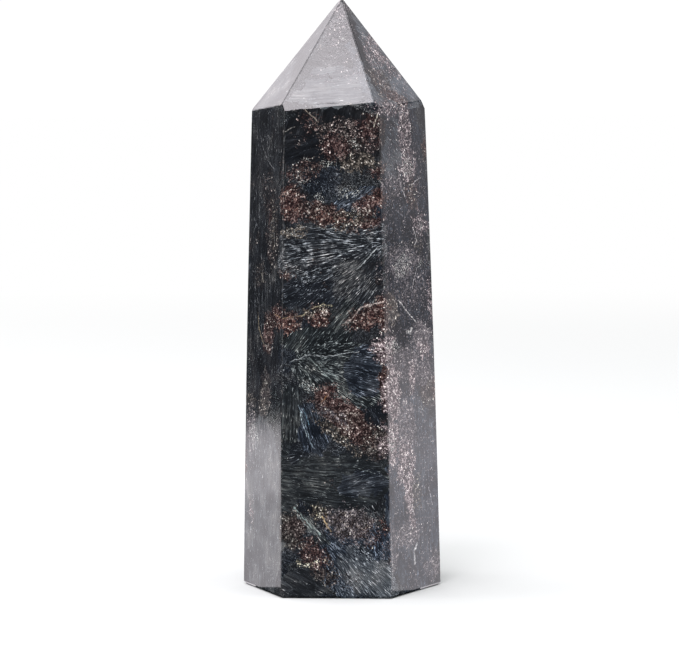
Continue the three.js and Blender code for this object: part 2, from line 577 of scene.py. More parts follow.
PATCHES = (
    # The front, from the top down.
    Patch(F, 4, 123.5, 9, 4.2, -8, BROWN, 0.64),
    Patch(F, 0.5, 120.6, 4.4, 3.2, -25, GARNET, 0.8),
    Patch(F, 6.5, 116.5, 4.2, 2.2, 0, TAN),
    Patch(F, 9.5, 125.5, 3.4, 3.2, 40, GARNET, 0.8),
    Patch(F, -6.5, 126.5, 2.4, 3, -50, GARNET, 0.4),
    Patch(F, 11.2, 114.5, 2, 1.6, 0, GARNET),
    Patch(F, -8, 114.3, 5, 2.4, 12, GARNET, 0.6),
    Patch(F, -11, 105.6, 3.6, 4.4, 0, GARNET),
    Patch(F, -2.5, 102.6, 6.2, 2.8, -12, GARNET),
    Patch(F, 2.5, 101.6, 4.6, 2, 8, TAN, 0.8),
    Patch(F, 9.6, 105.6, 5, 2.4, 38, GARNET),
    Patch(F, 8, 100.4, 5, 1.5, 14, GARNET),
    Patch(F, -10.6, 98, 3.4, 1.3, 0, TAN, 0.8),
    Patch(F, -12.8, 86.8, 1.6, 1.1, 0, GARNET),
    Patch(F, -4.4, 75.6, 3.5, 2.6, 8, GARNET),
    Patch(F, -5, 76.8, 3, 1.2, 20, TAN, 0.7),
    Patch(F, 8.8, 75.4, 5.6, 2.9, 22, GARNET, depth=9),
    Patch(F, -12, 74.2, 3, 2.2, 0, GARNET, depth=9),
    Patch(F, 12.6, 66, 2.2, 3, 0, GARNET, depth=9),
    Patch(F, 13.2, 57, 1.5, 7, 4, GARNET, depth=9),
    Patch(F, -3, 53.8, 3.6, 3.4, 20, GARNET),
    Patch(F, 3.4, 47.6, 8, 4.2, -36, GARNET),
    Patch(F, 10.5, 42, 4.4, 4, -30, BROWN, 0.9, depth=9),
    Patch(F, -3.5, 22.4, 3.6, 2.2, -35, TAN, 0.8),
    Patch(F, 4, 20, 6.4, 4.2, -12, BROWN),
    Patch(F, 8.5, 17.5, 3.6, 3.2, -40, GARNET, 0.6),
    Patch(F, -11.6, 18.4, 3.4, 5, 0, BROWN, 0.95, depth=9),
    Patch(F, -6, 12, 4.6, 3, -45, GARNET, 0.85),
    Patch(F, -2.6, 6.6, 3, 2.2, -30, BROWN, 0.7),
    Patch(F, 1, 43.4, 7.6, 1.4, -38, TAN, 0.7),
    Patch(F, -8.4, 9.6, 1.1, 0.7, 0, CREAM, 0.65),
    Patch(F, -5.2, 10, 0.8, 0.3, 0, CREAM, 0.5),
    Patch(F, -3.2, 78.2, 1.4, 0.5, 15, CREAM, 0.4),
    Patch(F, -0.6, 49.6, 4.4, 1.2, -30, DUST, 0.5),
    Patch(F, 4, 19.6, 8, 5, -15, DUST, 0.45),
    Patch(F, -3.6, 22, 2.6, 1.4, -50, CREAM, 0.25),
    Patch(F, -12.6, 73.6, 2.6, 1.8, 0, RUST, 0.7),
    Patch(F, -4, 74.6, 2.6, 1.4, 10, RUST, 0.55),
    Patch(F, 12.4, 78.6, 1.5, 1.6, 0, RUST, 0.6),
    Patch(F, 9, 74.8, 4.4, 1.8, 22, RUST, 0.4),
    Patch(F, 13.3, 58.6, 1.1, 5, 0, RUST, 0.6, depth=9),
    Patch(F, -11.8, 105.6, 2.6, 3, 0, RUST, 0.4),
    Patch(F, -1.4, 101.6, 4.4, 1.5, -5, RUST, 0.45),
    Patch(F, 11.8, 106.4, 1.8, 2.2, 0, RUST, 0.5),
    Patch(F, -3.2, 54.8, 1.8, 1.4, 0, RUST, 0.45),
    Patch(F, 12.8, 20, 1.4, 2.2, 0, RUST, 0.5, depth=9),
    # The front right side.
    Patch(R, 0, 66, 14, 70, 0, DUST, 0.15),
    Patch(R, 0.5, 124.5, 3, 8, 0, FELDSPAR, 0.6),
    Patch(R, 1.6, 115.4, 4, 4.4, -15, FELDSPAR, 0.7),
    Patch(R, -7.4, 131, 5.2, 2.6, 0, FELDSPAR, 0.5),
    Patch(R, -6, 110, 6, 3.6, 0, DUST, 0.5),
    Patch(R, 3.6, 107.6, 3.6, 4.4, 0, GARNET, 0.6),
    Patch(R, 7, 99.4, 4.2, 2.8, 0, FELDSPAR, 0.5),
    Patch(R, -2.6, 89.6, 8.4, 4.6, 0, DUST, 0.55),
    Patch(R, 6, 93.8, 3.4, 2.4, 0, TAN, 0.4),
    Patch(R, 1, 82, 9, 5, 0, DUST, 0.35),
    Patch(R, -8.8, 77.6, 2.8, 4.4, 0, TAN, 0.9),
    Patch(R, -11.8, 76, 2, 5.6, 0, GARNET, depth=5),
    Patch(R, 6.4, 68.4, 5.4, 4.4, 0, DUST, 0.8),
    Patch(R, 6.8, 65.4, 2.6, 2.2, -40, FELDSPAR, 0.7),
    Patch(R, -11.6, 66.6, 3.4, 4, 0, FELDSPAR, 0.8),
    Patch(R, -4, 62, 9, 4.6, 0, DUST, 0.7),
    Patch(R, 0.6, 58.4, 1.5, 4.6, 0, FELDSPAR, 0.8),
    Patch(R, -9.6, 55, 3.6, 6.8, 0, FELDSPAR, 0.85),
    Patch(R, 7.4, 55.6, 4, 6, 0, BROWN, 0.85),
    Patch(R, 6, 58.6, 5, 3.4, 0, DUST, 0.8),
    Patch(R, -4, 44, 5.4, 8.4, 0, DUST, 0.8),
    Patch(R, -3, 42.6, 2.6, 6, 0, GARNET, 0.45),
    Patch(R, -10.8, 41.6, 2.8, 6, 0, FELDSPAR, 0.9),
    Patch(R, -4, 35, 5, 6.4, 0, FELDSPAR, 0.75),
    Patch(R, -2.6, 24.6, 1.8, 8.6, 13, FELDSPAR, 0.8),
    Patch(R, 0.8, 27, 2.6, 5.4, 0, TAN, 0.6),
    Patch(R, -4, 16, 7, 3.4, 0, DUST, 0.7),
    Patch(R, -11.6, 14, 2.4, 6, 0, DUST, 0.6),
    Patch(R, 8.6, 6, 4, 3.4, 30, DUST, 0.6),
    # The front left side.
    Patch(L, 2.6, 108.4, 5, 6, 0, BROWN, 0.3),
    Patch(L, 5.2, 98.4, 3.8, 10, 4, BROWN, 0.45),
    Patch(L, 5.8, 99.4, 1.8, 7, 4, TAN, 0.45),
    Patch(L, 4.2, 101.6, 1.4, 3.6, 0, GARNET, 0.6),
    Patch(L, -2.4, 86, 3, 3.6, 0, BROWN, 0.35),
    Patch(L, 9, 75.4, 4, 2.6, 0, GARNET),
    Patch(L, 3.6, 71, 3.6, 5, -12, GARNET, 0.85),
    Patch(L, 1.4, 54.4, 3, 6, -12, BROWN, 0.75),
    Patch(L, 0.4, 50.2, 2.6, 2.4, 0, TAN, 0.75),
    Patch(L, -8, 50.2, 3.4, 3, 0, TAN, 0.5),
    Patch(L, -7.6, 42.4, 2.6, 6.6, 0, DUST, 0.45),
    Patch(L, -7.3, 21.6, 1.2, 2.8, 0, FELDSPAR, 0.6),
    Patch(L, -6.4, 17, 1.4, 1.6, 0, TAN, 0.4),
    # The point.
    Patch(TF, 0.5, 156.6, 2, 2.6, 0, DUST, 0.8),
    Patch(TF, 0.8, 152.4, 3.4, 2.8, 0, DUST, 0.5),
    Patch(TF, 1, 148.6, 3.6, 2.4, 8, DUST, 0.35),
    Patch(TF, 1.2, 144.6, 5.4, 2.2, 0, DUST, 0.2),
    Patch(TF, -2, 139.6, 5, 2.8, 0, DUST, 0.12),
    Patch(TF, 5.6, 140, 3, 3.2, 0, DUST, 0.25),
    Patch(TR, 2.6, 147.6, 2.6, 4, -25, FELDSPAR, 0.6),
    Patch(TR, -0.6, 145, 2.6, 6, -25, FELDSPAR, 0.45),
    Patch(TR, 3.4, 144, 3.4, 2.2, -40, FELDSPAR, 0.65),
    Patch(TR, -3, 138.4, 4, 3.6, -30, BROWN, 0.8),
    Patch(TR, 4.6, 140.4, 3.4, 1.6, -45, FELDSPAR, 0.4),
    Patch(TR, -0.8, 133.6, 5.4, 2.2, -30, GARNET, 0.9),
    Patch(TR, -5.6, 133.6, 2.2, 3, 0, BROWN, 0.7),
    Patch(TR, 3.4, 138, 6, 10, -30, DUST, 0.2),
    Patch(Face.TIP_BACK, 0, 146, 5, 3, 20, DUST, 0.5),
    Patch(Face.TIP_BACK_RIGHT, 1, 140, 5, 3, -20, BROWN, 0.7),
    Patch(Face.TIP_BACK_LEFT, -1, 142, 5, 3, 15, GARNET, 0.7),
    # The three sides at the back.
    Patch(BR, -6, 121, 8.4, 3.9, 20, GARNET),
    Patch(BR, -1, 117.5, 7, 3.1, 35, BROWN, 0.8),
    Patch(BR, 7, 112, 8.4, 3.4, -20, BROWN, 0.7),
    Patch(BR, 9, 84, 7, 3.9, -35, GARNET),
    Patch(BR, 3, 80.5, 8.4, 2.9, -25, TAN, 0.7),
    Patch(BR, -9, 77, 5.6, 7.8, 10, FELDSPAR, 0.5),
    Patch(BR, -8, 52, 7.7, 5.2, -40, GARNET),
    Patch(BR, -3, 47, 8.4, 3.9, -35, BROWN, 0.9),
    Patch(BR, 6, 22, 8.4, 4.4, 30, GARNET, 0.9),
    Patch(BR, 0, 19, 7, 2.9, 10, BROWN, 0.8),
    Patch(B, 4, 122, 11.2, 3.9, 12, BROWN, 0.9),
    Patch(B, -5, 119, 7, 3.4, -25, GARNET),
    Patch(B, 9, 116, 4.9, 5.2, 0, GARNET, 0.8),
    Patch(B, -9, 96, 6.3, 6.5, -15, GARNET, 0.9),
    Patch(B, -4, 92, 7, 3.1, -30, TAN, 0.7),
    Patch(B, 8, 71, 7, 7.8, -35, GARNET, depth=9),
    Patch(B, 3, 66, 8.4, 3.4, -40, BROWN, 0.8),
    Patch(B, -10, 64, 4.2, 5.2, 0, FELDSPAR, 0.5),
    Patch(B, -6, 43, 9.1, 4.4, 25, BROWN, 0.9),
    Patch(B, 1, 46.5, 7, 2.9, 20, GARNET, 0.8),
    Patch(B, 6, 15, 8.4, 5.9, -15, GARNET, 0.9),
    Patch(B, -1, 12, 8.4, 3.4, -10, TAN, 0.7),
    Patch(BL, -6, 117, 6.2, 7.3, -20, GARNET),
    Patch(BL, -1, 113, 7, 3.4, -30, BROWN, 0.8),
    Patch(BL, 7, 92, 7.8, 3.9, 30, BROWN, 0.9),
    Patch(BL, 2, 89, 7, 2.6, 25, TAN, 0.7),
    Patch(BL, -9, 84, 4.8, 5.2, 0, DUST, 0.6),
    Patch(BL, -5, 62, 8.4, 5.7, -25, GARNET, 0.9),
    Patch(BL, 1, 58.5, 8.4, 3.4, -30, BROWN, 0.8),
    Patch(BL, 8, 34, 6.4, 7.8, 15, GARNET, depth=9),
    Patch(BL, 3, 29, 7, 3.9, 30, BROWN, 0.8),
    Patch(BL, -8, 14, 7, 3.9, -10, BROWN, 0.9),
)

SHEAVES = (  # a later sheaf covers an earlier one
    Sheaf(R, 0, 92, 14, 44, 0, (-30, 300), -1, 0.35, 0.9),
    Sheaf(R, 0, 26, 14, 28, 0, (20, -200), -1, 1.25, 0.8),
    Sheaf(R, -6.4, 119, 5, 10, 0, (-42, 156), -0.9, 1.3, 0.4),
    Sheaf(L, 0, 94, 14, 44, 0, (4, 400), -1, 0.2, 0),
    Sheaf(L, 0, 22, 14, 26, 0, (-10, -200), -1, 1.5, 0),
    Sheaf(TF, 0, 148, 20, 14, 0, (-90, 150), -1.4, 0.45, 0, depth=2),
    Sheaf(TF, 0, 136.6, 20, 6.4, 0, (-90, 132), -1.8, 1.8, 0, depth=2),
    Sheaf(TL, 0, 142, 20, 16, 0, (56, 210), -0.9, 0.7, 0, depth=2),
    Sheaf(TL, -4, 137, 8, 9, 50, (56, 210), -0.9, 1.6, 0, depth=2),
    Sheaf(TR, 0, 142, 20, 16, 0, (-44, 190), -0.9, 1.65, 0.4, depth=2),
    Sheaf(TR, 5.6, 136.4, 4.6, 4, -45, (-44, 190), -1.2, 2.1, 0.6, depth=2),
    Sheaf(TF, -3.4, 144.6, 4.4, 2.4, 20, (-90, 150), -1.4, 0.1, 0, depth=2),
    Sheaf(TF, 1, 150.4, 3.2, 2.6, 0, (-90, 150), -1.4, 0.1, 0, depth=2),
    Sheaf(TR, -4.4, 146, 1.9, 13, -15, (2, 200), -1.2, 0, 0.2, depth=2),
    Sheaf(BR, 0, 118, 14, 12, 0, (-20, 140), -0.6, 0.6, 0.3),
    Sheaf(BR, 0, 92, 14, 14, 20, (18, 70), 0.6, 0.2, -0.3),
    Sheaf(BR, -2, 64, 14, 12, -25, (-18, 84), -0.8, 0.8, 0.8),
    Sheaf(BR, 2, 36, 14, 14, 15, (22, 20), 0.4, 0.2, -0.2),
    Sheaf(BR, 0, 9, 14, 10, 0, (-30, 4), -1, 1, 0.5),
    Sheaf(B, 0, 112, 14, 14, -15, (20, 128), -0.3, 0.5, 0.6),
    Sheaf(B, 0, 84, 14, 14, 25, (-20, 66), 0.6, 0.2, 0),
    Sheaf(B, 0, 54, 14, 14, -20, (16, 72), -0.9, 0.8, 0.7),
    Sheaf(B, 0, 22, 14, 16, 10, (-22, 38), 0.2, 0.3, -0.4),
    Sheaf(BL, 0, 116, 14, 12, 10, (-18, 100), 0.5, 0.2, -0.2),
    Sheaf(BL, 0, 88, 14, 14, -20, (20, 104), -0.8, 0.7, 0.7),
    Sheaf(BL, 0, 56, 14, 16, 20, (-20, 44), 0.5, 0.2, 0.1),
    Sheaf(BL, 0, 20, 14, 18, -10, (24, 40), -0.9, 0.9, 0.4),
    Sheaf(F, -13.4, 26, 2.4, 13, 0, (-70, 36), -0.8, 0.6, -0.3),
    Sheaf(F, 0, 123.4, 15, 7.8, 0, (14, 200), -2, -0.5, 0.1, depth=6),
    Sheaf(F, -7.5, 119.5, 7.5, 4.5, 0, (14, 127), -1.9, -0.5, 0.3),
    Sheaf(F, 5, 106.5, 6.4, 3.2, 28, (-22, 88), 0.5, 0.5, 0.8),
    Sheaf(F, 0, 97, 15, 4, 4, (30, 101), 0.8, 0.3, 0.2),
    Sheaf(F, -5, 82, 10, 5, 0, (16.5, 95.9), -0.5, 0.3, 0.4),
    Sheaf(F, -1, 91.5, 16, 6.4, 8, (16.5, 95.9), 1, 0.25, 0.2),
    Sheaf(F, 6.5, 84.5, 7.5, 7.5, 45, (26, 104), 0.2, 0.3, 0.1),
    Sheaf(F, 10, 89.4, 4.2, 1.9, 38, (16.5, 95.9), -0.8, 0.3, 0.1),
    Sheaf(F, 2, 73, 4, 8, -30, (26, 104), 0, 0.4, -0.5),
    Sheaf(F, -6, 69, 9, 3.6, 0, (-24, 50), -0.2, 0.3, -0.6),
    Sheaf(F, 2, 60, 13.5, 9, -12, (-11, 64.3), 0.6, 0.3, -0.5),
    Sheaf(F, 8.4, 61, 6, 7, -12, (-11, 64.3), 0.1, 0.7, 0.7),
    Sheaf(F, -6.5, 45.5, 4, 7, 20, (-13, 66), 0, 0.6, 0.8),
    Sheaf(F, -12, 49, 3, 9, 0, (-13, 120), -0.7, 0.4, -0.4),
    Sheaf(F, 0, 31.6, 15, 7.6, 0, (-70, 36), -0.8, 0.5, -0.4),
    Sheaf(F, 7, 31, 7, 3.4, 10, (-30, 24), -0.7, 0.9, 0.5),
    Sheaf(F, -8, 4, 8, 4, 0, (-60, 30), -1.2, 0.7, 0),
    Sheaf(F, 7, 9, 13.5, 10.5, -44, (-16, 32), 0.6, 0.9, 0.8),
    Sheaf(F, 9, 6.6, 10, 6.6, -44, (-16, 32), 0.5, 1.1, 0.4),
    Sheaf(F, 10.5, 4.4, 9, 4.8, -44, (-16, 32), 0.3, 1.8, 0.3),
    Sheaf(F, -6.6, 19.4, 7, 1.4, -46, (-16, 29.4), 0.2, 1.1, -0.4),
    Sheaf(F, 11.5, 15, 3, 5, 25, (2, 38), 0.9, 0.9, 0.9),
)

FLECK_CLOUDS = (
    FleckCloud(F, -8.3, 116.8, 2.4, 1.2, 0),
    FleckCloud(F, -1.8, 116.4, 2.4, 1.6, 0),
    FleckCloud(F, 5.2, 121.2, 1.6, 2, 30),
    FleckCloud(F, 4, 108.6, 4.4, 1.5, 22),
    FleckCloud(F, -4.2, 107, 2.6, 1.6, -20),
    FleckCloud(F, 6, 104, 1.6, 2.4, 30),
    FleckCloud(F, -3.6, 99.3, 3, 1, 0),
    FleckCloud(F, -11, 97.8, 2.8, 1.4, -10),
    FleckCloud(F, -7.8, 111.9, 4.2, 0.6, 0),
    FleckCloud(F, -7.4, 57, 3.4, 1.6, -20),
    FleckCloud(F, -8.2, 9.3, 2.2, 1, 10),
    FleckCloud(F, -4.6, 9.8, 1.4, 0.7, 0),
    FleckCloud(R, 1.6, 115, 3.6, 4, -15),
    FleckCloud(R, 7.2, 99.6, 2.6, 2, 0),
    FleckCloud(R, -3, 88.6, 5.6, 3.4, 10),
    FleckCloud(R, 6.8, 88, 2, 2, 0),
    FleckCloud(R, -9, 66.8, 4, 2, 0),
    FleckCloud(R, -11, 42, 2.4, 4.4, 0),
    FleckCloud(L, -6, 42, 3.4, 4, 0),
    FleckCloud(TF, 2, 149, 1.6, 1.2, 0),
)

STREAKS = (
    Streak(F, ((-7.6, 130.4), (-4.2, 127.2)), 0.2, "#A39A8C"),
    Streak(F, ((-12.9, 124.8), (-10.7, 125.9)), 0.2, "#8E8C86"),
    Streak(F, ((10.4, 125.8), (11.5, 129.2)), 0.28, "#CFC8BA"),
    Streak(F, ((5.9, 88), (9, 91.4), (11.2, 93.6)), 0.24, "#C4CACC"),
    Streak(F, ((-9, 75.6), (-6.4, 77.7), (-3.2, 78.9), (-0.8, 78.5)), 0.22, "#A29A80"),
    Streak(F, ((2.8, 73.9), (5.1, 75.5), (7, 78.2), (13, 79.6)), 0.34, "#D9C9C2"),
    Streak(F, ((5, 74.2), (9.4, 73.6), (12.6, 75.6)), 0.16, "#8E7873"),
    Streak(F, ((-13.9, 75.1), (-9, 75.8)), 0.2, "#8E7A62"),
    Streak(F, ((-12.1, 63.5), (-7.1, 65.4), (-2.5, 65), (6.6, 66.3)), 0.2, "#B9BFC2"),
    Streak(F, ((-6.5, 64.3), (-3.5, 61.1), (-0.9, 58.4), (1, 56.6)), 0.18, "#9FB0AC"),
    Streak(F, ((-3.8, 63.2), (0.7, 59), (3.1, 55)), 0.14, "#7F8F8B"),
    Streak(F, ((-9.4, 62.7), (-7.3, 60.3), (-6.2, 57.6)), 0.16, "#8E9794"),
    Streak(F, ((-9.8, 52), (-8, 46.7), (-6.2, 40.8)), 0.2, "#A9BDC8"),
    Streak(F, ((-9.4, 50.1), (-8.5, 46.3), (-7.6, 43.6)), 0.2, "#C6D8DE"),
    Streak(F, ((-8.6, 51.4), (-7, 46.7)), 0.14, "#6F93A4"),
    Streak(F, ((-5.8, 33.6), (1.2, 33.5)), 0.12, "#7A807E"),
    Streak(F, ((4.9, 35.6), (10.7, 33.7)), 0.2, "#6E7677"),
    Streak(F, ((-11.2, 24.6), (-6.8, 19.6), (-4.3, 17.2)), 0.3, "#8FA09E"),
    Streak(F, ((-10.4, 22.6), (-6.4, 18)), 0.16, "#A9B4B2"),
    Streak(F, ((-3.6, 22.2), (-2.4, 19.8), (-1.3, 18.3)), 0.4, "#D8BE92"),
    Streak(F, ((-2.8, 23), (-2, 20.6)), 0.2, "#94744A"),
    Streak(F, ((-2, 54.6), (-3.4, 53)), 0.3, "#86603F"),
    Streak(R, ((-8.4, 114.1), (-7, 111.1)), 0.2, "#C6C2C4"),
    Streak(R, ((-3.3, 113.7), (-2, 109.4), (-0.1, 106.6)), 0.26, "#C6C2C4"),
    Streak(R, ((3.2, 110), (5.4, 111), (8.1, 112)), 0.2, "#C6C2C4"),
    Streak(R, ((-5.4, 103.6), (-1.9, 101.9)), 0.18, "#A5A5AB"),
    Streak(R, ((3.1, 98.6), (5, 95.1), (3.9, 94)), 0.28, "#C9C6C6"),
    Streak(R, ((4.5, 87.6), (2.2, 83.1), (1.6, 81.3)), 0.24, "#B9B7B9"),
    Streak(R, ((-5.3, 79.5), (-1.9, 76.6), (1.7, 74.2), (3.2, 73)), 0.34, "#E4E1DF"),
    Streak(R, ((3.2, 73), (5.6, 73.6)), 0.2, "#9A989A"),
    Streak(R, ((-1.6, 70.8), (0.2, 70.4), (0.8, 71.4)), 0.7, "#E4E2E0"),
    Streak(R, ((3.4, 49.7), (7, 48.2)), 0.18, "#A5A9AE"),
    Streak(R, ((-4.2, 28.4), (-0.4, 21)), 0.2, "#B9B3B5"),
    Streak(R, ((7.4, 27.6), (9.3, 22.4)), 0.2, "#B9B7BD"),
    Streak(R, ((0.6, 13), (-1, 11.2), (-0.8, 7.8)), 0.7, "#DCDCDD"),
    # Painted highlight: a pale line along the arris with the front, low down.
    Streak(R, ((-12.6, 17), (-12.4, 5)), 0.3, "#A5A5A8"),
    Streak(TR, ((1.2, 147), (3.2, 144.5), (3.9, 142.6)), 0.3, "#C9C5C5"),
    Streak(TR, ((-3.1, 145), (-1.3, 143.3), (-0.6, 140.2)), 0.24, "#B5B0B0"),
    Streak(BR, ((-9, 104), (-3, 100), (4, 99)), 0.24, "#B5B3B2"),
    Streak(B, ((2, 100), (6, 94), (7, 88)), 0.26, "#B9B6B3"),
    Streak(BL, ((-7, 78), (-2, 74), (3, 73)), 0.24, "#A8987C"),
    Streak(L, ((-3.9, 123.1), (-1.8, 119.6), (1, 117), (5.8, 114.4)), 0.2, "#77787A"),
    Streak(L, ((-3.9, 75.7), (-3.1, 71.4), (0.4, 67.1)), 0.26, "#A8987C"),
    Streak(L, ((7.4, 76), (11.5, 75.2)), 0.26, "#A88D6C"),
    Streak(L, ((-1.8, 86.4), (-0.8, 84.2)), 0.26, "#B5B3A8"),
    Streak(L, ((7, 92.8), (6.2, 98.4)), 0.2, "#6E6E6E"),
    Streak(L, ((-9.3, 46.4), (-8.4, 36)), 0.22, "#B5B5B6"),
    Streak(L, ((-6.8, 47), (-6.4, 38)), 0.2, "#A5A5A6"),
    Streak(L, ((-5, 43), (-4.6, 36.6)), 0.16, "#C5C5C6"),
    Streak(L, ((-2, 46), (-1.4, 40)), 0.2, "#8C8C8E"),
    Streak(L, ((1.6, 42), (2.4, 33)), 0.14, "#8C8C8E"),
    Streak(L, ((4.6, 49), (5, 42)), 0.16, "#8C8C8E"),
)


@dataclass(frozen=True)
class AstrophylliteRock:
    """Astrophyllite rock, sawn, lapped and polished to a gloss.

    The polish leaves the dark fibres almost like glass and the softer grains a little duller.
    Sizes are in millimetres. The real fibres and grains go down to a few hundredths of a
    millimetre, too fine to show, so the finest are drawn about a tenth of a millimetre wide.
    """

    fibres: tuple[tuple[float, str], ...] = (  # places on the ramp and their colours
        (0.08, "#0F1012"), (0.28, "#181A1D"), (0.40, "#292C30"), (0.55, "#53585B"),
        (0.75, "#979CA0"), (1.00, "#E4E8E8"))
    grain_places: tuple[float, ...] = (0.15, 0.34, 0.50, 0.66, 0.82, 1.0)  # of a mineral's colours
    blue_cast: str = "#B4C6E0"  # of the blue sheaves
    green_cast: str = "#DAE8E2"  # of the green sheaves
    brown_cast: str = "#F4ECE6"  # of the browner clouds of the fibres
    rust: str = "#F8EBE8"  # the redder clouds of the grains
    moss: str = "#EBEBE5"  # the greener clouds of the grains
    painted_glint: str = "#C4C0BA"  # painted highlight: a stray crystal that catches the light
    crumb: str = "#CDD0CB"  # the pale crumbs in a cloud
    nick: str = "#A19C98"  # a chipped arris
    bend: Warp = Warp(Clouds(0.07, 1.0), 2.4)  # curves the fibres
    fray: Warp = Warp(Clouds(0.35, 3.0), 5.2)  # makes the borders of sheaves and patches ragged
    jostle: Warp = Warp(Clouds(2.4, 1.0), 0.5)  # gives the single grains uneven shapes
    wobble: Warp = Warp(Clouds(0.9, 2.0), 1.0)  # makes the streaks crooked
    bundle_size: float = 15.0  # of the ordinary bundles between the sheaves
    bundle_spread: tuple[float, float, float] = (1.5, 0.4, 1.0)  # of shine, lustre and tone
    bundle_least: tuple[float, float, float] = (-1.1, 0.1, -0.4)  # shine, lustre and tone
    sheaf_seed: float = 3.7  # sets one sheaf's fibres apart from another's
    splits: Clouds = Clouds(24.0, 4.0)  # where neighbouring fibres split
    split_spread: float = 2.0  # in doublings of the distance
    fibre_width: float = 0.4  # of the soft sheen's narrowest bands
    fibre_stretch: float = 24.0  # length over width of the sheen
    sheen: Clouds = Clouds(1.0, 3.0, 0.85)  # soft, along the fibres: partly their own shades, partly painted sheen
    sheen_lacunarity: float = 2.1  # how much finer each layer is than the last
    sheen_gain: float = 0.95
    sheen_base: float = -0.20
    calming: float = 0.27  # how much a unit of lustre evens the sheen out
    lustre_gain: float = 0.11  # how much it brightens the fibres
    dash_stretch: float = 30.0  # length over width of the bright dashes, partly paler fibres, partly painted sheen
    dash_width: float = 0.1  # of the narrowest dash
    dash_layers: float = 2.0
    dash_roughness: float = 0.65
    dash_band: Band = Band(0.58, 0.69, most=0.66)  # how much of the noise shows as dashes
    shine_gain: float = 0.045  # how much a unit of shine adds to them
    gaps: Clouds = Clouds(0.6, 3.0, 0.7)  # where the dashes break off
    gap_band: Band = Band(0.38, 0.60, least=0.3)
    fibre_clouds: Clouds = Clouds(0.16, 3.0)  # lighter and browner places among the fibres
    cloud_gain: float = 0.5
    brown_band: Band = Band(0.45, 0.65)
    blotches: Clouds = Clouds(0.6, 4.0, 0.7)  # uneven edges and shades of the patches
    blotch_gain: float = 5.0  # how far they move an edge
    edge_start: float = -1.3  # how far outside a patch its grains begin
    edge_end: float = 0.9  # how far inside it they are densest
    crowding: float = 1.08  # scales the density of every patch
    strays: Clouds = Clouds(0.13, 5.0, 0.65)  # grains outside the patches
    stray_band: Band = Band(0.60, 0.78, most=0.8)
    mottling: Clouds = Clouds(1 / 1.3, 3.0, 0.8)  # a millimetre or so across
    mottle_gain: float = 1.7
    speck: float = 0.27  # size of a single crystal
    speck_gain: float = 0.62  # how much single crystals differ
    edge_gain: float = 0.08  # how much paler a patch's heart is
    grain_base: float = -0.85  # brightness of the grains
    bright_band: Band = Band(0.91, 1.0, most=0.5)  # a few crystals are much brighter
    tint_clouds: Clouds = Clouds(0.21, 2.0)  # redder and greener places among the grains
    tint_band: Band = Band(0.42, 0.58)
    grain_band: Band = Band(0.0, 0.07)  # how sharp a grain's edge is
    painted_glint_band: Band = Band(0.99, 0.997, most=0.8)  # painted highlights: a very few crystals catch the light
    fleck_size: float = 0.32  # of the pale crumbs
    fleck_layers: float = 2.0
    fleck_roughness: float = 0.7
    cloud_band: Band = Band(-1.0, 0.9, -0.12, 0.13)  # they thin out towards a cloud's border
    crumb_band: Band = Band(0.70, 0.81, most=0.95)
    breaks: Clouds = Clouds(1.5, 3.0, 0.8)  # where the streaks break off
    break_band: Band = Band(0.44, 0.64, least=0.08)
    streak_band: Band = Band(0.8, 0.2, most=0.9)  # fades a streak's edges, in half widths
    chips: Clouds = Clouds(2.0, 2.0)  # unevenness of the nicks
    chip_band: Band = Band(0.4, 0.6)
    dullness: Clouds = Clouds(0.5, 3.0)  # changes the gloss from place to place
    gloss_band: Band = Band(0.3, 0.7, 0.06, 0.12)  # roughness, best to worst
    grain_dullness: float = 0.1  # added roughness of the grains
    nick_dullness: float = 0.3  # and of the nicks
    scratches: Clouds = Clouds(2.2, 3.0, 0.65)  # fine relief that the last lap leaves
    scratch_run: tuple[float, float, float] = (1, 1, 0.12)  # draws it out upwards
    scratch_depth: float = 0.02
    far_away: float = 999.0  # more than any distance across the stone
    index: float = 1.62  # refractive, between astrophyllite's and amphibole's

    def build(self, planes: dict[Face, Plane]) -> bpy.types.Material:
        """Makes the material.

        Args:
            planes: the stone's faces, on which the listed features lie.

        Returns:
            The finished material.
        """
        material = bpy.data.materials.new("polished astrophyllite rock")
        material.use_nodes = True
        tree = material.node_tree
        shader = tree.nodes["Principled BSDF"]
        shader.inputs["IOR"].default_value = self.index
        place = add_node(tree, "TexCoord", {}, "Object")
        spot = add_node(tree, "VectorMath", {0: place, "Scale": 1 / MM}, operation="SCALE")
        flow = self.move(tree, spot, self.bend)
        ragged = self.move(tree, spot, self.fray)
        region = self.region_group()
        lit, tone = self.fibre_pattern(tree, spot, flow, ragged, planes, region)
        fibre = self.fibre_colour(tree, spot, lit, tone)
        colour, grain_mask = self.grains(tree, spot, ragged, fibre, planes, region)
        colour = self.flecks(tree, spot, ragged, colour, planes, region)
        colour = self.streaks(tree, spot, colour, planes)
        self.finish(tree, spot, colour, grain_mask, shader)
        return material

    def move(self, tree: Tree, spot: Socket, warp: Warp) -> Socket:
        """Moves the coordinates about by noise.

        Args:
            tree: the material's node tree.
            spot: the coordinates, in millimetres.
            warp: how to move them.

        Returns:
            The moved coordinates.
        """
        swirl = add_node(tree, "TexNoise", warp.clouds.at(spot), "Color")
        centred = add_node(tree, "VectorMath",
                           {0: self.as_vector(tree, swirl), 1: (0.5, 0.5, 0.5)},
                           operation="SUBTRACT")
        return add_node(tree, "VectorMath",
                        {0: centred, 1: (warp.amount,) * 3, 2: spot},
                        operation="MULTIPLY_ADD")

    def as_vector(self, tree: Tree, colour: Socket) -> Socket:
        """Turns a colour to a vector, channel by channel.

        A direct link from a colour to a vector makes the shader keep too many values at once.

        Args:
            tree: the material's node tree.
            colour: the colour.

        Returns:
            The vector.
        """
        channels = add_node(tree, "SeparateColor", {0: colour}).node.outputs
        return add_node(tree, "CombineXYZ", {0: channels[0], 1: channels[1], 2: channels[2]})

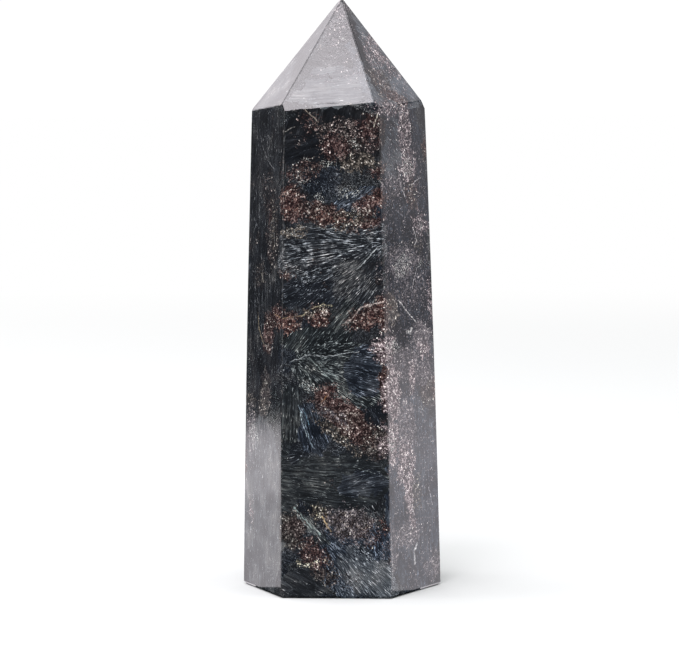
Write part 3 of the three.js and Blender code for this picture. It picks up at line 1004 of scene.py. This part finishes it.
    def along_axes(self, tree: Tree, given: bpy.types.NodeOutputs,
                   axes: tuple[str, str, str]) -> Socket:
        """Measures where a group's spot lies along three of its axes.

        Args:
            tree: the group's tree.
            given: the sockets that bring the group's inputs in.
            axes: the names of the three axes.

        Returns:
            The place, one axis to a channel.
        """
        parts = [add_node(tree, "VectorMath", {0: given["spot"], 1: given[axis]},
                          "Value", operation="DOT_PRODUCT")
                 for axis in axes]
        return add_node(tree, "CombineXYZ", dict(enumerate(parts)))

    def region_group(self) -> Tree:
        """Makes the group that measures how far inside a region a point is, in millimetres.

        Returns:
            The group. Its result is negative outside the region.
        """
        tree, given = start_group("inside a region", REGION_INPUTS, {"inside": "Float"})
        local = self.along_axes(tree, given, ("across", "uphill", "outward"))
        reach = add_node(tree, "VectorMath", {0: local, 1: given["middle"]}, "Value",
                         operation="DISTANCE")
        reach = add_node(tree, "Math", {0: 1.0, 1: reach}, operation="SUBTRACT")
        inside = add_node(tree, "Math", {0: reach, 1: given["size"]}, operation="MULTIPLY")
        end_group(tree, {"inside": inside})
        return tree

    def sheaf_group(self, region: Tree) -> Tree:
        """Makes the group that puts one sheaf's fibres over those before it.

        Args:
            region: the group that measures how far inside a region a point is.

        Returns:
            The group.
        """
        fibres = {"focus": "Vector", "manner": "Vector"}
        own = {"own focus": "Vector", "own manner": "Vector"}
        tree, given = start_group("a sheaf", REGION_INPUTS | fibres | own, fibres)
        inside = add_node(tree, "Group",
                          {name: given[name] for name in REGION_INPUTS}, node_tree=region)
        mask = add_node(tree, "Math", {0: inside, 1: 0.0}, operation="GREATER_THAN")
        end_group(tree, {
            name: add_node(tree, "Mix",
                           {0: mask, 4: given[name], 5: given["own " + name]}, 1,
                           data_type="VECTOR")
            for name in fibres})
        return tree

    def patch_group(self, region: Tree) -> Tree:
        """Makes the group that adds one patch to the share of grains.

        Args:
            region: the group that measures how far inside a region a point is.

        Returns:
            The group.
        """
        extra = {"fray": "Float", "density": "Float", "share": "Float"}
        tree, given = start_group("a patch", REGION_INPUTS | extra, {"share": "Float"})
        inside = add_node(tree, "Group",
                          {name: given[name] for name in REGION_INPUTS}, node_tree=region)
        inside = add_node(tree, "Math", {0: inside, 1: given["fray"]}, operation="ADD")
        own = add_node(tree, "MapRange",
                       {0: inside, 1: self.edge_start, 2: self.edge_end,
                        4: given["density"]})
        end_group(tree, {"share": add_node(tree, "Math", {0: given["share"], 1: own},
                                           operation="MAXIMUM")})
        return tree

    def piece_group(self) -> Tree:
        """Makes the group that measures how far a point is from a straight piece of a streak.

        Returns:
            The group. It gives the smaller of that distance and the nearest one so far, with
            the colour that goes with it.
        """
        best = {"nearest": "Float", "paint": "Color"}
        takes = {"spot": "Vector", "along": "Vector", "aside": "Vector", "outward": "Vector",
                 "middle": "Vector", "half": "Vector", "own paint": "Color"}
        tree, given = start_group("a piece of a streak", takes | best, best)
        local = self.along_axes(tree, given, ("along", "aside", "outward"))
        beyond = add_node(tree, "VectorMath", {0: local, 1: given["middle"]}, operation="SUBTRACT")
        beyond = add_node(tree, "VectorMath", {0: beyond}, operation="ABSOLUTE")
        beyond = add_node(tree, "VectorMath", {0: beyond, 1: given["half"]}, operation="SUBTRACT")
        beyond = add_node(tree, "VectorMath", {0: beyond, 1: (0, 0, 0)}, operation="MAXIMUM")
        away = add_node(tree, "VectorMath", {0: beyond}, "Value", operation="LENGTH")
        nearer = add_node(tree, "Math", {0: away, 1: given["nearest"]}, operation="LESS_THAN")
        paint = add_node(tree, "Mix",
                         {0: nearer, 6: given["paint"], 7: given["own paint"]}, 2,
                         data_type="RGBA")
        nearest = add_node(tree, "Math", {0: given["nearest"], 1: away}, operation="MINIMUM")
        end_group(tree, {"nearest": nearest, "paint": paint})
        return tree

    def fibre_pattern(self, tree: Tree, spot: Socket, flow: Socket, ragged: Socket,
                      planes: dict[Face, Plane], region: Tree) -> tuple[Socket, Socket]:
        """Draws the fibres: bundles that radiate everywhere, and the listed sheaves.

        Each fibre points at its sheaf's focus. Wherever the fibres have spread to twice their
        width they split in two. A soft sheen lies under thin, broken, bright dashes. Sheen, dashes
        and lustre are partly the fibres' own paler shades and partly painted sheen.

        Args:
            tree: the material's node tree.
            spot: the coordinates, in millimetres.
            flow: the coordinates, bent a little, so that the fibres curve.
            ragged: the coordinates, shaken, so that the borders are uneven.
            planes: the stone's faces.
            region: the group that measures how far inside a region a point is.

        Returns:
            The place on the colour ramp, and the tone from green to blue.
        """
        group = self.sheaf_group(region)
        focus, manner = (0.0, 0.0, -self.far_away), (0.0, 0.0, 0.0)
        for sheaf in SHEAVES:
            inputs = {"spot": ragged, **sheaf.place(planes), "focus": focus,
                      "manner": manner,
                      "own focus": planes[sheaf.face].point(*sheaf.focus) / MM,
                      "own manner": (sheaf.shine, sheaf.lustre, sheaf.tone)}
            focus = add_node(tree, "Group", inputs, "focus", node_tree=group)
            manner = focus.node.outputs["manner"]
        placed = add_node(tree, "SeparateXYZ", {0: focus}, "Z")
        placed = add_node(tree, "Math", {0: placed, 1: -self.far_away / 2},
                          operation="GREATER_THAN")
        cells = add_node(tree, "TexVoronoi",
                         {"Vector": ragged, "Scale": 1 / self.bundle_size}, "Position")
        own_focus = add_node(tree, "VectorMath", {0: cells, "Scale": 1.0}, operation="SCALE")
        own_manner = add_node(tree, "VectorMath",
                              {0: self.as_vector(tree, cells.node.outputs["Color"]),
                               1: self.bundle_spread, 2: self.bundle_least},
                              operation="MULTIPLY_ADD")
        focus, manner = (
            add_node(tree, "Mix", {0: placed, 4: own, 5: chosen}, 1,
                     data_type="VECTOR")
            for own, chosen in ((own_focus, focus), (own_manner, manner)))
        shine, lustre, tone = add_node(tree, "SeparateXYZ", {0: manner}).node.outputs
        arm = add_node(tree, "VectorMath", {0: flow, 1: focus}, operation="SUBTRACT")
        apart = self.split_fibres(tree, arm, focus)
        # Painted sheen in part: the sheen, the lustre and the bright dashes lift the fibres'
        # colour, partly as their own paler shades, partly as the silky shine that fibres throw
        # back.
        sheen = add_node(tree, "TexNoise",
                         self.sheen.at(self.strand(tree, arm, apart, self.fibre_stretch))
                         | {"Lacunarity": self.sheen_lacunarity}, "Fac")
        calm = add_node(tree, "Math", {0: lustre, 1: self.calming}, operation="MULTIPLY")
        sheen = add_node(tree, "Mix", {0: calm, 2: sheen, 3: 0.5}, 0)
        sheen = add_node(tree, "Math",
                         {0: sheen, 1: self.sheen_gain, 2: self.sheen_base},
                         operation="MULTIPLY_ADD")
        lit = add_node(tree, "Math", {0: lustre, 1: self.lustre_gain, 2: sheen},
                       operation="MULTIPLY_ADD")
        dashes = Clouds(self.fibre_width / self.dash_width, self.dash_layers, self.dash_roughness)
        dash = add_node(tree, "TexNoise",
                        dashes.at(self.strand(tree, arm, apart, self.dash_stretch)), "Fac")
        dash = add_node(tree, "Math", {0: shine, 1: self.shine_gain, 2: dash},
                        operation="MULTIPLY_ADD")
        dash = add_node(tree, "MapRange", self.dash_band.of(dash))
        gaps = add_node(tree, "TexNoise", self.gaps.at(spot), "Fac")
        gaps = add_node(tree, "MapRange", self.gap_band.of(gaps))
        lit = add_node(tree, "Math", {0: dash, 1: gaps, 2: lit}, operation="MULTIPLY_ADD")
        return lit, tone

    def split_fibres(self, tree: Tree, arm: Socket, focus: Socket) -> Socket:
        """Gives every fibre a place of its own in the noise, and splits it as it spreads.

        Args:
            tree: the material's node tree.
            arm: the way from the focus to the point, in millimetres.
            focus: where the fibres meet, in millimetres.

        Returns:
            The fibre's place, the same all along it between two splits.
        """
        unit = add_node(tree, "VectorMath", {0: arm}, operation="NORMALIZE")
        splits = add_node(tree, "TexNoise", self.splits.at(unit), "Fac")
        far = add_node(tree, "VectorMath", {0: arm, "Scale": 1 / self.fibre_width},
                       operation="SCALE")
        far = add_node(tree, "VectorMath", {0: far}, "Value", operation="LENGTH")
        far = add_node(tree, "Math", {0: far, 1: 2.0}, operation="LOGARITHM")
        far = add_node(tree, "Math", {0: splits, 1: self.split_spread, 2: far},
                       operation="MULTIPLY_ADD")
        far = add_node(tree, "Math", {0: far, 1: self.split_spread / 2}, operation="SUBTRACT")
        far = add_node(tree, "Math", {0: far}, operation="FLOOR")
        count = add_node(tree, "Math", {0: 2.0, 1: far}, operation="POWER")
        unit = add_node(tree, "VectorMath", {0: unit, "Scale": count}, operation="SCALE")
        return add_node(tree, "VectorMath",
                        {0: focus, 1: (self.sheaf_seed,) * 3, 2: unit},
                        operation="MULTIPLY_ADD")

    def strand(self, tree: Tree, arm: Socket, apart: Socket, stretch: float) -> Socket:
        """Draws the noise out along the fibres.

        Args:
            tree: the material's node tree.
            arm: the way from the focus to the point, in millimetres.
            apart: the fibre's own place in the noise.
            stretch: length over width.

        Returns:
            The coordinates for a Noise Texture node.
        """
        lengthwise = 1 / (self.fibre_width * stretch)
        return add_node(tree, "VectorMath",
                        {0: arm, 1: (lengthwise,) * 3, 2: apart}, operation="MULTIPLY_ADD")

    def fibre_colour(self, tree: Tree, spot: Socket, lit: Socket, tone: Socket) -> Socket:
        """Colours the fibres from near black to silver, with blue, green and brown casts.

        Args:
            tree: the material's node tree.
            spot: the coordinates, in millimetres.
            lit: the place on the colour ramp.
            tone: the tone from green to blue.

        Returns:
            The colour.
        """
        cloudy = add_node(tree, "TexNoise", self.fibre_clouds.at(spot), "Fac")
        patchy = add_node(tree, "Math",
                          {0: cloudy, 1: self.cloud_gain, 2: -self.cloud_gain / 2},
                          operation="MULTIPLY_ADD")
        lit = add_node(tree, "Math", {0: lit, 1: patchy}, operation="ADD")
        colour = self.ramp(tree, lit, self.fibres)
        green = add_node(tree, "Math", {0: tone, 1: -1.0}, operation="MULTIPLY")
        brown = add_node(tree, "MapRange", self.brown_band.of(cloudy))
        for share, cast in ((tone, self.blue_cast), (green, self.green_cast),
                            (brown, self.brown_cast)):
            colour = add_node(tree, "Mix", {0: share, 6: colour, 7: linear(cast)}, 2,
                              data_type="RGBA", blend_type="MULTIPLY")
        return colour

    def ramp(self, tree: Tree, value: Socket, stops: tuple[tuple[float, str], ...]) -> Socket:
        """Colours a value.

        Args:
            tree: the material's node tree.
            value: the place on the ramp.
            stops: the places and sRGB hex colours of its stops.

        Returns:
            The colour.
        """
        colour = add_node(tree, "ValToRGB", {0: value}, 0)
        elements = colour.node.color_ramp.elements
        while len(elements) < len(stops):
            elements.new(0.5)
        for element, (position, hex_colour) in zip(elements, stops):
            element.position = position
            element.color = linear(hex_colour)
        return colour

    def grains(self, tree: Tree, spot: Socket, ragged: Socket, colour: Socket,
               planes: dict[Face, Plane], region: Tree) -> tuple[Socket, Socket]:
        """Fills the patches with mineral grains and scatters strays outside them.

        Args:
            tree: the material's node tree.
            spot: the coordinates, in millimetres.
            ragged: the coordinates, shaken.
            colour: the colour of the fibres.
            planes: the stone's faces.
            region: the group that measures how far inside a region a point is.

        Returns:
            The rock's colour, and where there are grains.
        """
        blotch = add_node(tree, "TexNoise", self.blotches.at(spot), "Fac")
        edge = add_node(tree, "Math",
                        {0: blotch, 1: self.blotch_gain, 2: -self.blotch_gain / 2},
                        operation="MULTIPLY_ADD")
        group = self.patch_group(region)
        share = {}
        for patch in PATCHES:
            inputs = {"spot": ragged, **patch.place(planes), "fray": edge,
                      "density": patch.density * self.crowding,
                      "share": share.get(patch.mineral, 0.0)}
            share[patch.mineral] = add_node(tree, "Group", inputs, node_tree=group)
        strays = add_node(tree, "TexNoise", self.strays.at(spot), "Fac")
        strays = add_node(tree, "MapRange", self.stray_band.of(strays))
        share[Mineral.BROWN] = add_node(
            tree, "Math", {0: share[Mineral.BROWN], 1: strays}, operation="MAXIMUM")
        pick, chance, rare = self.crystals(tree, spot, edge)
        redder = add_node(tree, "TexNoise", self.tint_clouds.at(spot), "Fac")
        redder = add_node(tree, "MapRange", self.tint_band.of(redder))
        tint = add_node(tree, "Mix",
                        {0: redder, 6: linear(self.moss), 7: linear(self.rust)}, 2,
                        data_type="RGBA")
        total = None
        for mineral, own in share.items():
            over = add_node(tree, "Math", {0: own, 1: chance}, operation="SUBTRACT")
            mask = add_node(tree, "MapRange", self.grain_band.of(over))
            paint = self.ramp(tree, pick, tuple(zip(self.grain_places, mineral.value)))
            if mineral in (Mineral.GARNET, Mineral.BROWN):
                paint = add_node(tree, "Mix", {0: 1.0, 6: paint, 7: tint}, 2,
                                 data_type="RGBA", blend_type="MULTIPLY")
            colour = add_node(tree, "Mix", {0: mask, 6: colour, 7: paint}, 2, data_type="RGBA")
            total = mask if total is None else add_node(
                tree, "Math", {0: total, 1: mask}, operation="MAXIMUM")
        # Painted highlights: a very few crystals that catch the light, painted pale into the
        # colour.
        painted_glint = add_node(tree, "MapRange", self.painted_glint_band.of(rare))
        painted_glint = add_node(tree, "Math", {0: painted_glint, 1: total}, operation="MULTIPLY")
        colour = add_node(tree, "Mix",
                          {0: painted_glint, 6: colour, 7: linear(self.painted_glint)}, 2, data_type="RGBA")
        return colour, total

    def crystals(self, tree: Tree, spot: Socket, edge: Socket) -> tuple[Socket, Socket, Socket]:
        """Divides the rock into single crystals and chooses how pale each is.

        Args:
            tree: the material's node tree.
            spot: the coordinates, in millimetres.
            edge: the blotches that move the edges of the patches.

        Returns:
            The place on a mineral's colour ramp, and two random numbers for each crystal.
        """
        mottle = add_node(tree, "TexNoise", self.mottling.at(spot), "Fac")
        shaken = self.move(tree, spot, self.jostle)
        cells = add_node(tree, "TexVoronoi", {"Vector": shaken, "Scale": 1 / self.speck}, "Color")
        chance, shade, rare = add_node(tree, "SeparateColor", {0: cells}).node.outputs
        pick = self.grain_base
        for value, gain in ((mottle, self.mottle_gain), (shade, self.speck_gain),
                            (edge, self.edge_gain)):
            pick = add_node(tree, "Math", {0: value, 1: gain, 2: pick}, operation="MULTIPLY_ADD")
        bright = add_node(tree, "MapRange", self.bright_band.of(rare))
        pick = add_node(tree, "Math", {0: pick, 1: bright}, operation="ADD")
        return pick, chance, rare

    def flecks(self, tree: Tree, spot: Socket, ragged: Socket, colour: Socket,
               planes: dict[Face, Plane], region: Tree) -> Socket:
        """Scatters pale crumbs in the clouds.

        Args:
            tree: the material's node tree.
            spot: the coordinates, in millimetres.
            ragged: the coordinates, shaken.
            colour: the rock's colour so far.
            planes: the stone's faces.
            region: the group that measures how far inside a region a point is.

        Returns:
            The rock's colour.
        """
        cloud = None
        for item in FLECK_CLOUDS:
            depth = add_node(tree, "Group",
                             {"spot": ragged, **item.place(planes)}, node_tree=region)
            cloud = depth if cloud is None else add_node(
                tree, "Math", {0: cloud, 1: depth}, operation="MAXIMUM")
        dense = add_node(tree, "MapRange", self.cloud_band.of(cloud))
        flecks = Clouds(1 / self.fleck_size, self.fleck_layers, self.fleck_roughness)
        crumbs = add_node(tree, "TexNoise", flecks.at(spot), "Fac")
        crumbs = add_node(tree, "Math", {0: crumbs, 1: dense}, operation="ADD")
        mask = add_node(tree, "MapRange", self.crumb_band.of(crumbs))
        return add_node(tree, "Mix", {0: mask, 6: colour, 7: linear(self.crumb)}, 2,
                        data_type="RGBA")

    def streaks(self, tree: Tree, spot: Socket, colour: Socket,
                planes: dict[Face, Plane]) -> Socket:
        """Draws the single seams and bright fibres, and one painted highlight along an arris, thin
        and broken.

        Args:
            tree: the material's node tree.
            spot: the coordinates, in millimetres.
            colour: the rock's colour so far.
            planes: the stone's faces.

        Returns:
            The rock's colour.
        """
        crooked = self.move(tree, spot, self.wobble)
        broken = add_node(tree, "TexNoise", self.breaks.at(spot), "Fac")
        broken = add_node(tree, "MapRange", self.break_band.of(broken))
        group = self.piece_group()
        nearest, paint = self.far_away, (0.0, 0.0, 0.0, 1.0)
        for streak in STREAKS:
            for piece in streak.pieces(planes[streak.face]):
                nearest = add_node(tree, "Group",
                                   {"spot": crooked, **piece, "nearest": nearest,
                                    "paint": paint}, "nearest", node_tree=group)
                paint = nearest.node.outputs["paint"]
        mask = add_node(tree, "MapRange", self.streak_band.of(nearest))
        mask = add_node(tree, "Math", {0: mask, 1: broken}, operation="MULTIPLY")
        return add_node(tree, "Mix", {0: mask, 6: colour, 7: paint}, 2, data_type="RGBA")

    def finish(self, tree: Tree, spot: Socket, colour: Socket, grain_mask: Socket,
               shader: bpy.types.Node) -> None:
        """Sets the colour, the gloss and the fine relief, with the nicks along the arrises.

        Args:
            tree: the material's node tree.
            spot: the coordinates, in millimetres.
            colour: the rock's colour.
            grain_mask: where there are grains, which polish a little duller.
            shader: the material's shader.
        """
        worn = add_node(tree, "Attribute", {}, "Fac", attribute_name=WEAR)
        grit = add_node(tree, "TexNoise", self.chips.at(spot), "Fac")
        grit = add_node(tree, "MapRange", self.chip_band.of(grit))
        worn = add_node(tree, "Math", {0: worn, 1: grit}, operation="MULTIPLY", use_clamp=True)
        colour = add_node(tree, "Mix",
                          {0: worn, 6: colour, 7: linear(self.nick)}, 2, data_type="RGBA")
        tree.links.new(colour, shader.inputs["Base Color"])
        cloudy = add_node(tree, "TexNoise", self.dullness.at(spot), "Fac")
        rough = add_node(tree, "MapRange", self.gloss_band.of(cloudy))
        for place, gain in ((grain_mask, self.grain_dullness), (worn, self.nick_dullness)):
            rough = add_node(tree, "Math", {0: place, 1: gain, 2: rough}, operation="MULTIPLY_ADD")
        tree.links.new(rough, shader.inputs["Roughness"])
        drawn = add_node(tree, "VectorMath", {0: spot, 1: self.scratch_run}, operation="MULTIPLY")
        relief = add_node(tree, "TexNoise", self.scratches.at(drawn), "Fac")
        bump = add_node(tree, "Bump",
                        {"Height": relief, "Distance": self.scratch_depth * MM,
                         "Strength": 1.0})
        tree.links.new(bump, shader.inputs["Normal"])


# ---- The studio ----


WARM = "#FFF9FE"  # daylight lamps with a trace of magenta


def area_lamp(name: str, size: tuple[float, float], radiance: float,
              tint: str) -> bpy.types.Object:
    """Adds a flat rectangular lamp that the camera doesn't see.

    Args:
        name: what the lamp does.
        size: width and height, in metres.
        radiance: brightness of its face, 1 being white.
        tint: sRGB hex.

    Returns:
        The lamp, at the origin and facing down.
    """
    data = bpy.data.lights.new(name, "AREA")
    data.shape = "RECTANGLE"
    data.size, data.size_y = size
    data.energy = radiance * math.pi * size[0] * size[1]
    data.color = linear(tint)[:3]
    lamp = bpy.data.objects.new(name, data)
    lamp.visible_camera = False
    bpy.context.scene.collection.objects.link(lamp)
    return lamp


@dataclass(frozen=True)
class Softbox:
    """A soft studio lamp, aimed at the stone.

    Attributes:
        name: what the lamp does.
        azimuth: compass direction from the stone, in degrees, where -90 is the front.
        elevation: height above the horizon, in degrees.
        distance: from the aim point, in metres.
        size: width and height, in metres.
        radiance: brightness of its face, 1 being white.
        aim: height of the aim point above the floor, in metres.
        tint: sRGB hex.
    """

    name: str
    azimuth: float
    elevation: float
    distance: float
    size: tuple[float, float]
    radiance: float
    aim: float = 0.08
    tint: str = "#FFFFFF"

    def build(self) -> None:
        """Adds the lamp."""
        lamp = area_lamp(self.name, self.size, self.radiance, self.tint)
        a, e = math.radians(self.azimuth), math.radians(self.elevation)
        out = Vector((math.cos(a) * math.cos(e), math.sin(a) * math.cos(e), math.sin(e)))
        lamp.location = Vector((0, 0, self.aim)) + out * self.distance
        lamp.rotation_euler = (-out).to_track_quat("-Z", "Y").to_euler()


@dataclass(frozen=True)
class TableGlow:
    """Light off the bright table beside the stone, mirrored low in its sides.

    Attributes:
        name: where it lies.
        azimuth: compass direction from the stone, in degrees.
        near, far: where it begins and ends, in metres from the stone's axis.
        width: in metres.
        radiance: brightness of its face, 1 being white.
        height: how far above the floor it lies, in metres.
    """

    name: str
    azimuth: float
    near: float
    far: float
    width: float
    radiance: float
    height: float = 0.2 * MM

    def build(self) -> None:
        """Adds the glow as a lamp that lies on the floor and shines up."""
        lamp = area_lamp(self.name, (self.far - self.near, self.width), self.radiance, WARM)
        a = math.radians(self.azimuth)
        middle = (self.near + self.far) / 2
        lamp.location = (math.cos(a) * middle, math.sin(a) * middle, self.height)
        lamp.rotation_euler = (math.pi, 0, a)


@dataclass
class Studio:
    """The pale floor, the lamps and the camera. Sizes are in metres, angles in degrees."""

    softboxes: tuple[Softbox, ...] = (
        Softbox("overhead_key", -114, 55.5, 0.95, (0.6, 0.5), 7.4, aim=0.14, tint=WARM),
        Softbox("right_backdrop", 25, 9, 1.3, (0.9, 0.4), 0.55, tint=WARM),
        Softbox("right_low", 25, -4, 1.3, (0.9, 0.19), 0.34, tint=WARM),
        Softbox("left_backdrop", 122, 24, 1.1, (0.7, 0.45), 1.95, tint=WARM),
        Softbox("shoulder_line", -102, 35, 1.2, (0.3, 0.25), 7.5, aim=0.14, tint=WARM),
        Softbox("right_high", 42, 34, 1.1, (0.5, 0.4), 0.82, aim=0.14, tint=WARM),
        Softbox("top_left", 170, 55, 1.1, (0.7, 0.6), 4.0, aim=0.14, tint=WARM),
        Softbox("left_haze", 140, 9, 1.2, (0.9, 0.4), 0.03, tint=WARM),
        Softbox("top_right", -20, 66, 1.1, (0.5, 0.4), 3.5, aim=0.14, tint=WARM),
        Softbox("fill_right", -45, 9, 1.1, (0.5, 0.55), 1.2),
        Softbox("fill_left", -135, 9, 1.1, (0.5, 0.55), 1.2),
    )
    table_glows: tuple[TableGlow, ...] = (
        TableGlow("left_table", 140, 0.015, 0.2, 0.4, 1.34),
        TableGlow("left_table_far", 140, 0.2, 0.435, 0.5, 1.75),
        TableGlow("right_table", 25, 0.015, 0.45, 0.5, 1.32),
        TableGlow("right_table_middle", 25, 0.45, 0.8, 0.8, 1.04),
        TableGlow("right_table_far", 25, 0.8, 1.15, 0.8, 0.8),
    )
    floor_hex: str = "#C5C8C7"
    floor_size: float = 40.0
    floor_roughness: float = 0.9
    sweep: Band = Band(0.25, 1.2)  # metres from the stone, over which the floor turns white
    world_strength: float = 1.03  # a trace over white, so that the background stays pure
    sensor_width: float = 36.0
    image_width: int = 679  # pixels
    focal_length: float = 2741.0  # pixels
    camera_elevation: float = 4.98
    camera_roll: float = -0.318
    camera_distance: float = 0.75
    camera_target: tuple[float, float, float] = (-0.32 * MM, -0.34 * MM, 68.6 * MM)

    def build(self) -> None:
        """Adds everything round the stone."""
        self.floor()
        for lamp in (*self.softboxes, *self.table_glows):
            lamp.build()
        self.world()
        self.camera()

    def floor(self) -> None:
        """A wide plain pale floor that fades to pure white far away, as an even sweep does.

        Matt white paper spreads the light evenly, with no shine of its own.
        """
        bpy.ops.mesh.primitive_plane_add(size=self.floor_size, location=(0, 0, 0))
        floor = bpy.context.object
        floor.name = "floor"
        floor.visible_glossy = False
        material = bpy.data.materials.new("matt white studio paper")
        material.use_nodes = True
        tree = material.node_tree
        shader = tree.nodes["Principled BSDF"]
        shader.inputs["Roughness"].default_value = self.floor_roughness
        shader.inputs["Specular IOR Level"].default_value = 0.0
        place = add_node(tree, "TexCoord", {}, "Object")
        away = add_node(tree, "VectorMath", {0: place}, "Value", operation="LENGTH")
        fade = add_node(tree, "MapRange", self.sweep.of(away), interpolation_type="SMOOTHSTEP")
        paper = add_node(tree, "Mix",
                         {0: fade, 6: linear(self.floor_hex), 7: (0, 0, 0, 1)}, 2,
                         data_type="RGBA")
        tree.links.new(paper, shader.inputs["Base Color"])
        shader.inputs["Emission Color"].default_value = (1, 1, 1, 1)
        tree.links.new(fade, shader.inputs["Emission Strength"])
        floor.data.materials.append(material)

    def world(self) -> None:
        """White all round for the camera, dark for reflections."""
        world = bpy.data.worlds.new("studio")
        bpy.context.scene.world = world
        world.use_nodes = True
        background = world.node_tree.nodes["Background"]
        background.inputs["Color"].default_value = (1, 1, 1, 1)
        background.inputs["Strength"].default_value = self.world_strength
        world.cycles_visibility.glossy = False

    def camera(self) -> None:
        """The camera at the viewing angle, looking along +Y and slightly down."""
        data = bpy.data.cameras.new("camera")
        data.sensor_width = self.sensor_width
        data.lens = self.focal_length / self.image_width * data.sensor_width
        camera = bpy.data.objects.new("camera", data)
        e = math.radians(self.camera_elevation)
        back = Vector((0, -math.cos(e), math.sin(e)))
        target = Vector(self.camera_target)
        turn = back.to_track_quat("Z", "Y") @ Matrix.Rotation(
            math.radians(self.camera_roll), 3, "Z").to_quaternion()
        camera.rotation_euler = turn.to_euler()
        camera.location = target + back * self.camera_distance
        bpy.context.scene.collection.objects.link(camera)
        bpy.context.scene.camera = camera


def main() -> None:
    """Builds the stone and the studio."""
    bpy.context.scene.view_settings.view_transform = "Standard"
    tower = StoneTower()
    piece = tower.build()
    piece.data.materials.clear()
    piece.data.materials.append(AstrophylliteRock().build(tower.planes))
    log.info("%s: %d faces", piece.name, len(piece.data.polygons))
    Studio().build()


if __name__ == "__main__":
    main()
